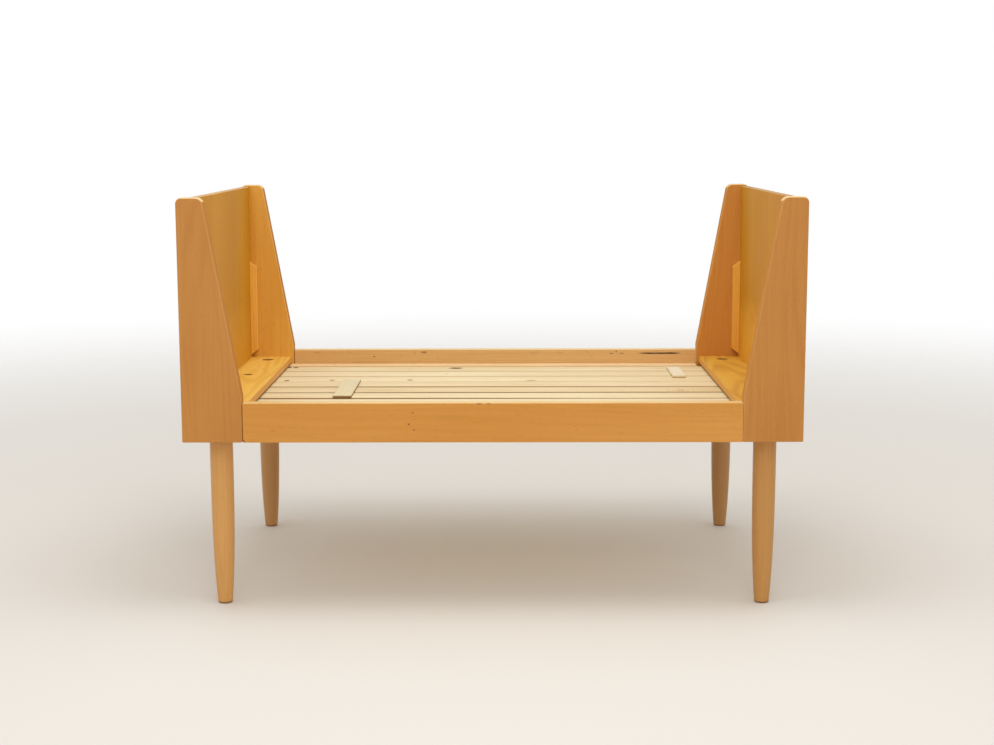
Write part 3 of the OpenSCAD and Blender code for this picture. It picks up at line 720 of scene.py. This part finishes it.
def pieceTree(name, look, shape):  # the shape on each place, its z turned to the place's facing
    def standing(tree, given):
        facing = form(tree, "InputNamedAttribute", {"Name": "facing"}, data_type="FLOAT_VECTOR")
        turn = node(tree, "FunctionNodeAlignRotationToVector", {"Vector": facing}, axis="Z").outputs[0]
        copies = form(tree, "InstanceOnPoints",
                      {"Points": given["Places"], "Instance": shape(tree, given), "Rotation": turn})
        real = form(tree, "RealizeInstances", {0: copies})
        return {"Piece": form(tree, "SetMaterial", {"Geometry": real, "Material": given["Finish"]})}

    return makeTree(name, {"Places": "Geometry", **look, "Finish": "Material"}, standing,
                    "GeometryNodeTree", "Geometry")


def turned(tree, given, radiusLaw, length="Length", rings="Rings", crowd=1.0):  # round, up from z 0
    line = form(tree, "CurvePrimitiveLine", {"End": xyz(z=given[length])})
    line = form(tree, "ResampleCurve", {"Curve": line, "Count": given[rings]})
    height = times(power(form(tree, "SplineParameter"), crowd), given[length])
    line = form(tree, "SetPosition", {"Geometry": line, "Position": xyz(z=height)})
    radius = radiusLaw(apart(form(tree, "InputPosition"))[2])
    circle = form(tree, "CurvePrimitiveCircle", {"Resolution": given["Sides"], "Radius": 1.0})
    return form(tree, "CurveToMesh",
                {"Curve": line, "Profile Curve": circle, "Scale": radius, "Fill Caps": True})


def bar(tree, width, depth, corner, steps, end, stops):  # a rectangle with round corners, drawn out
    outline = form(tree, "CurvePrimitiveQuadrilateral", {"Width": width, "Height": depth})
    outline = form(tree, "FilletCurve", {"Curve": outline, "Count": steps, "Radius": corner}, mode="POLY")
    line = form(tree, "ResampleCurve", {"Curve": form(tree, "CurvePrimitiveLine", {"End": end}),
                                        "Count": stops})
    return form(tree, "CurveToMesh", {"Curve": line, "Profile Curve": outline, "Fill Caps": True})


def bored(tree, shape, cutter):
    return form(tree, "MeshBoolean", {"Mesh 1": shape, "Mesh 2": cutter}, operation="DIFFERENCE")


def drilled(tree, given, shape):
    drill = form(tree, "MeshCylinder", {"Vertices": given["Bore Sides"], "Radius": given["Bore"],
                                        "Depth": given["Drill Reach"]})
    return bored(tree, shape, drill)


def together(tree, operation, first, second):
    made = node(tree, "GeometryNodeMeshBoolean", {"Mesh 2": first}, operation=operation)
    tree.links.new(second, made.inputs["Mesh 2"])
    return made.outputs[0]


faceReach = 0.93  # how squarely a slat's face looks up or down, so that its round edges don't count


def grow(name, places, tree, sizes, finish, grain, cadNames, seed, heart=0.03, sides=None, crease=35):
    mesh = bpy.data.meshes.new(name)
    mesh.from_pydata([spot for spot, facing in places], [], [])
    facings = mesh.attributes.new("facing", "FLOAT_VECTOR", "POINT")
    for at, (spot, facing) in enumerate(places):
        facings.data[at].vector = facing
    piece = newObject(name, mesh)
    build = piece.modifiers.new("build", "NODES")
    build.node_group = tree
    values = {**sizes, "Finish": finish}
    for item in tree.interface.items_tree:
        if item.in_out == "INPUT" and item.name in values:
            build[item.identifier] = values[item.name]
    settle(piece)
    smooth(piece.data)
    piece.data.set_sharp_from_angle(angle=math.radians(crease))
    layGrain(piece.data, grain, seed, heart)
    markEdges(piece.data)
    if sides:
        paint(piece.data, {"+z": finish, "-z": finish, "rest": sides}, faceReach)
    declare(piece, *cadNames)


up, down = (0, 0, 1), (0, 0, -1)


# Legs: each a turned solid whose swell follows one power curve

legLook = {
    "Length": 0.318, "Top Diameter": 0.0426, "Foot Diameter": 0.0264, "Swell": 3.6, "Foot Rounding": 0.0025,
    "Rings": 72, "Ring Crowding": 1.7, "Sides": 56}


def turnedLeg(tree, given):
    def legRadius(height):
        foot, top = times(given["Foot Diameter"], 0.5), times(given["Top Diameter"], 0.5)
        left = most(minus(1.0, divided(height, given["Length"])), 0.0)
        fullness = minus(1.0, power(left, given["Swell"]))
        plain = timesPlus(minus(top, foot), fullness, foot)
        rounding = given["Foot Rounding"]
        low = most(minus(rounding, height), 0.0)
        rest = minus(times(rounding, rounding), times(low, low))
        return minus(plain, minus(rounding, squareRoot(rest)))

    return turned(tree, given, legRadius, crowd=given["Ring Crowding"])


legTree = pieceTree("turnedLeg", legLook, turnedLeg)
for number, (end, side) in enumerate(bedCorners):
    cadName = f"leg_{side}_{end}"
    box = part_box(cadName)
    sizes = {**legLook, "Length": sizeOf(box)[2], "Top Diameter": sizeOf(box)[0]}
    grow(pieceName(cadName), [(footOf(box), up)], legTree, sizes, legBeech[end], "z", [cadName],
         101 + number, heart=0.05)
print("legs built")


# Slats: one set on each body, a row of rounded battens on an even pitch

slatLook = {
    "Count": 5, "Pitch": 0.148, "Length": 0.946, "Width": 0.07, "Thickness": 0.012, "Edge Round": 0.0028,
    "Round Steps": 3, "Stops": 12, "First Slat Trim": 0.0}


def slatRow(tree, given):
    batten = bar(tree, given["Width"], given["Thickness"], given["Edge Round"], given["Round Steps"],
                 xyz(given["Length"]), given["Stops"])
    row = form(tree, "MeshLine", {"Count": given["Count"], "Offset": xyz(y=given["Pitch"])}, mode="OFFSET")
    slats = form(tree, "RealizeInstances",
                 {0: form(tree, "InstanceOnPoints", {"Points": row, "Instance": batten})})
    across = apart(form(tree, "InputPosition"))[1]
    frontHalf = node(tree, "FunctionNodeCompare", {0: across, 1: 0.0}, data_type="FLOAT",
                     operation="LESS_THAN").outputs[0]
    return form(tree, "SetPosition", {"Geometry": slats, "Selection": frontHalf,
                                      "Offset": xyz(y=given["First Slat Trim"])})


slatTree = pieceTree("slatRow", slatLook, slatRow)
slatSets = {"slatsRight": ((1, 3, 5, 7, 9), 121), "slatsLeft": ((2, 4, 6, 8), 123)}
for name, (numbers, seed) in slatSets.items():
    first, second, third = (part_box(f"slat_{number}") for number in numbers[:3])
    long, wide, thick = sizeOf(second)
    sizes = {**slatLook, "Count": len(numbers), "Pitch": third[0].y - second[0].y, "Length": long,
             "Width": wide, "Thickness": thick, "First Slat Trim": wide - sizeOf(first)[1]}
    start = (second[0].x, first[1].y - wide / 2, middleOf(second).z)
    grow(name, [(start, up)], slatTree, sizes, slatPine, "x", [f"slat_{number}" for number in numbers],
         seed, heart=0.035, sides=slatSideAndShade)
print("slats built")


# Screws, bolts, nuts, dowels and packers

screwLook = {  # thread and recess are shares of the shank and the head; the origin is the head's top
    "Length": 0.025, "Shank": 0.002, "Head": 0.004, "Thread Pitch": 0.0018, "Thread Depth": 0.36,
    "Tip Slope": 0.5, "Tip": 0.0002, "Recess Length": 1.15, "Recess Width": 0.24, "Recess Depth": 0.55,
    "Rings": 60, "Sides": 20}
screwLooks = {
    "slat": screwLook, "keeper": {**screwLook, "Shank": 0.0015, "Head": 0.003, "Thread Pitch": 0.0013},
    "rail": {**screwLook, "Shank": 0.0025, "Head": 0.005, "Thread Pitch": 0.0022, "Rings": 110}}
studLook = {
    "Length": 0.088, "Radius": 0.004, "Thread Pitch": 0.00125, "Thread Depth": 0.0004, "Point": 0.001,
    "Rings": 280, "Sides": 20}
nutLook = {
    "Flats": 0.013, "Height": 0.008, "Flange Radius": 0.009, "Flange Height": 0.0015, "Bore": 0.0042,
    "Crown Slope": 1.7, "Crown Top": 0.49, "Crown Foot": 1.01, "Flange Slope": 3.0, "Flange Foot": 0.55,
    "Crown Rings": 24, "Flange Rings": 8, "Sides": 48, "Bore Sides": 32, "Drill Reach": 0.04}
dowelLook = {  # a flute on every second side
    "Length": 0.06, "Radius": 0.005, "Point": 0.001, "Flute Depth": 0.06, "Rings": 24, "Sides": 48}
packerLook = {
    "Width": 0.045, "Depth": 0.026, "Corner": 0.002, "Corner Steps": 4, "Thickness": 0.0015,
    "Bore": 0.0023, "Bore Sides": 24, "Drill Reach": 0.02}


def threadTurn(given, height):  # 0 to a half and back on each turn of a thread
    return pingPong(divided(height, given["Thread Pitch"]), 0.5)


def pointed(given, height, radius):  # a radius that is drawn in at both ends
    narrow = minus(given["Radius"], given["Point"])
    below, above = plus(narrow, height), plus(narrow, minus(given["Length"], height))
    return least(radius, least(below, above))


def countersunkScrew(tree, given):
    def screwRadius(depth):
        thread = times(times(threadTurn(given, depth), given["Thread Depth"]), given["Shank"])
        tip = times(minus(given["Length"], depth), given["Tip Slope"])
        shank = least(minus(given["Shank"], thread), plus(tip, given["Tip"]))
        return most(shank, minus(given["Head"], depth))

    shape = turned(tree, given, screwRadius)
    long, thin, deep = (times(given["Head"], given["Recess " + part])
                        for part in ("Length", "Width", "Depth"))
    for across, along in ((long, thin), (thin, long)):
        shape = bored(tree, shape, form(tree, "MeshCube", {"Size": xyz(across, along, deep)}))
    return shape


def threadedStud(tree, given):
    def studRadius(height):
        ridge = times(times(threadTurn(given, height), 2.0), given["Thread Depth"])
        return pointed(given, height, minus(given["Radius"], ridge))

    return turned(tree, given, studRadius)


def flangeNut(tree, given):
    corner = divided(given["Flats"], 2 * math.cos(math.radians(30)))

    def crownRadius(height):  # the hexagon's corners are turned off at the top
        top = times(given["Flats"], given["Crown Top"])
        slope = timesPlus(minus(given["Height"], height), given["Crown Slope"], top)
        return least(slope, times(corner, given["Crown Foot"]))

    def flangeRadius(height):
        foot = times(given["Flats"], given["Flange Foot"])
        slope = timesPlus(minus(given["Flange Height"], height), given["Flange Slope"], foot)
        return least(given["Flange Radius"], slope)

    hexagon = form(tree, "MeshCylinder", {"Vertices": 6, "Radius": corner, "Depth": given["Height"]})
    lift = xyz(z=times(given["Height"], 0.5))
    hexagon = form(tree, "Transform", {"Geometry": hexagon, "Translation": lift})
    crown = turned(tree, given, crownRadius, "Height", "Crown Rings")
    flange = turned(tree, given, flangeRadius, "Flange Height", "Flange Rings")
    whole = together(tree, "UNION", flange, together(tree, "INTERSECT", hexagon, crown))
    return drilled(tree, given, whole)


def flutedDowel(tree, given):
    shape = turned(tree, given, lambda height: pointed(given, height, given["Radius"]))
    groove = remainder(form(tree, "InputIndex"), 2.0)
    squeeze = minus(1.0, times(groove, given["Flute Depth"]))
    place = vectors("MULTIPLY", form(tree, "InputPosition"), xyz(squeeze, squeeze, 1.0))
    return form(tree, "SetPosition", {"Geometry": shape, "Position": place})


def fibrePacker(tree, given):
    shape = bar(tree, given["Width"], given["Depth"], given["Corner"], given["Corner Steps"],
                xyz(z=given["Thickness"]), 2)
    return drilled(tree, given, shape)


screwTree = pieceTree("countersunkScrew", screwLook, countersunkScrew)
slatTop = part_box("slat_3")[1].z - 0.0001  # a hair below it
screwNodes = ("slat_screws_right", "slat_screws_left", "keeper_screws_long", "keeper_screws_short")
for number, cadName in enumerate(screwNodes):
    boxes, places = partBoxes(cadName), []
    for box in boxes:
        fromAbove = cadName.startswith("slat") and box[1].z > slatTop
        x, y, foot = footOf(box)
        places.append(((x, y, box[1].z), down) if fromAbove else ((x, y, foot), up))
    sizes = {**screwLooks[cadName.split("_")[0]], "Length": sizeOf(boxes[-1])[2]}
    grow(pieceName(cadName), places, screwTree, sizes, steel, "z", [cadName], 131 + number)
boxes, places = partBoxes("rail_screws"), []
for box in boxes:
    x, y, z = middleOf(box)
    places.append(((x, box[0].y, z), (0, 1, 0)) if y > 0 else ((x, box[1].y, z), (0, -1, 0)))
sizes = {**screwLooks["rail"], "Length": sizeOf(boxes[-1])[1]}
grow("railScrews", places, screwTree, sizes, steel, "y", ["rail_screws"], 136)

upright = {  # tree, its dictionary, finish, grain, seed, and sizes as axis and share of a part's box
    "leg_bolts": (pieceTree("threadedStud", studLook, threadedStud), studLook, steel, "z", 141,
                  {"Length": (2, 1), "Radius": (0, 0.5)}),
    "leg_nuts": (pieceTree("flangeNut", nutLook, flangeNut), nutLook, steel, "z", 143,
                 {"Height": (2, 1), "Flange Radius": (0, 0.5)}),
    "bearer_packers": (pieceTree("fibrePacker", packerLook, fibrePacker), packerLook, framePine, "x", 145,
                       {"Width": (0, 1), "Depth": (1, 1), "Thickness": (2, 1)})}
for number, end in enumerate(bedEnds):
    for kind, (tree, look, finish, grain, seed, measures) in upright.items():
        cadName = f"{kind}_{end}"
        boxes = partBoxes(cadName)
        size = sizeOf(boxes[-1])
        sizes = {**look, **{label: size[axis] * share for label, (axis, share) in measures.items()}}
        grow(pieceName(cadName), [(footOf(box), up) for box in boxes], tree, sizes, finish, grain,
             [cadName], seed + number)
boxes = partBoxes("rail_dowels")
places = [((box[0].x, middleOf(box).y, middleOf(box).z), (1, 0, 0)) for box in boxes]
sizes = {**dowelLook, "Length": sizeOf(boxes[0])[0], "Radius": sizeOf(boxes[0])[2] / 2}
grow("railDowels", places, pieceTree("flutedDowel", dowelLook, flutedDowel), sizes, framePine, "x",
     ["rail_dowels"], 149)
print("fasteners built")


# Floor, world, lamps and camera

def paleFloor(look):
    mesh = bpy.data.meshes.new("floorSheet")
    work = bmesh.new()
    bmesh.ops.create_circle(work, cap_ends=True, segments=96, radius=look["radius"])
    work.to_mesh(mesh)
    work.free()
    material, tree = startMaterial("floorPaint")
    shader = tree.nodes["Principled BSDF"]
    fade = smoothStep(vectors("LENGTH", onPiece(tree)), look["fade"])
    clear = node(tree, "ShaderNodeBsdfTransparent").outputs[0]
    blend = node(tree, "ShaderNodeMixShader", {0: fade, 1: shader.outputs[0], 2: clear}).outputs[0]
    tree.links.new(blend, tree.nodes["Material Output"].inputs["Surface"])
    shader.inputs["Base Color"].default_value = tone(look["colour"])
    shader.inputs["Roughness"].default_value = look["roughness"]
    shader.inputs["Specular IOR Level"].default_value = look["specular"]
    mesh.materials.append(material)
    newObject("floorSheet", mesh)


def softWorld(look):  # lights the bed gently; the camera and reflections see plain white
    world = bpy.data.worlds.new("softWorld")
    scene.world = world
    world.use_nodes = True
    tree = world.node_tree
    light = tree.nodes["Background"]
    light.inputs["Color"].default_value = tone(look["colour"])
    height = apart(node(tree, "ShaderNodeTexCoord").outputs["Generated"])[2]
    strength = smoothStep(height, look["rise"], look["horizon"], look["zenith"])
    tree.links.new(strength, light.inputs["Strength"])
    white = node(tree, "ShaderNodeBackground", {"Color": (1, 1, 1, 1), "Strength": 1.0}).outputs[0]
    path = node(tree, "ShaderNodeLightPath").outputs
    seen = most(path["Is Camera Ray"], most(path["Is Glossy Ray"], path["Is Transmission Ray"]))
    blend = node(tree, "ShaderNodeMixShader", {0: seen, 1: light.outputs[0], 2: white}).outputs[0]
    tree.links.new(blend, tree.nodes["World Output"].inputs["Surface"])


def softLamp(name, look):
    lamp = bpy.data.lights.new(name, "AREA")
    lamp.shape, lamp.size, lamp.energy = "DISK", look["size"], look["power"]
    aim = (Vector(look["target"]) - Vector(look["place"])).to_track_quat("-Z", "Y")
    newObject(name, lamp).matrix_world = Matrix.Translation(look["place"]) @ aim.to_matrix().to_4x4()


paleFloor(dict(radius=9.0, fade=(1.2, 5.0), colour="#e6e2dc", roughness=0.7, specular=0.2))
softWorld(dict(colour="#fffdf9", rise=(-0.1, 0.9), horizon=0.46, zenith=0.88))
lampLooks = {
    "overheadLamp": dict(place=(0.0, -0.4, 3.4), target=(0, 0, 0.3), size=2.6, power=16),
    "frontLamp": dict(place=(0.1, -4.2, 2.4), target=(0, 0, 0.4), size=2.4, power=41),
    "middleLamp": dict(place=(0.0, -0.5, 1.7), target=(0, 0, 0.4), size=0.9, power=5)}
for name, look in lampLooks.items():
    softLamp(name, look)
cameraLook = dict(  # fitted to the bed's corners in the photograph, with focal and width in pixels
    place=(0.0250, -3.2773, 0.8674), turn=-0.0057, tilt=0.1446, roll=-0.0022,
    focal=1634.9, width=994.0, sensor=36.0, clipEnd=60.0)


def photoCamera(look):
    turn, tilt, roll = look["turn"], look["tilt"], look["roll"]
    ahead = Vector((math.sin(turn) * math.cos(tilt), math.cos(turn) * math.cos(tilt), -math.sin(tilt)))
    right = ahead.cross(Vector((0, 0, 1))).normalized()
    right = right * math.cos(roll) + right.cross(ahead) * math.sin(roll)
    data = bpy.data.cameras.new("photoCamera")
    data.sensor_fit, data.sensor_width = "HORIZONTAL", look["sensor"]
    data.lens = look["focal"] / look["width"] * look["sensor"]
    data.clip_end = look["clipEnd"]
    camera = newObject("photoCamera", data)
    axes = Matrix((right, right.cross(ahead), -ahead)).transposed()
    camera.matrix_world = Matrix.Translation(look["place"]) @ axes.to_4x4()
    scene.camera = camera


photoCamera(cameraLook)
scene.view_settings.view_transform = "Standard"
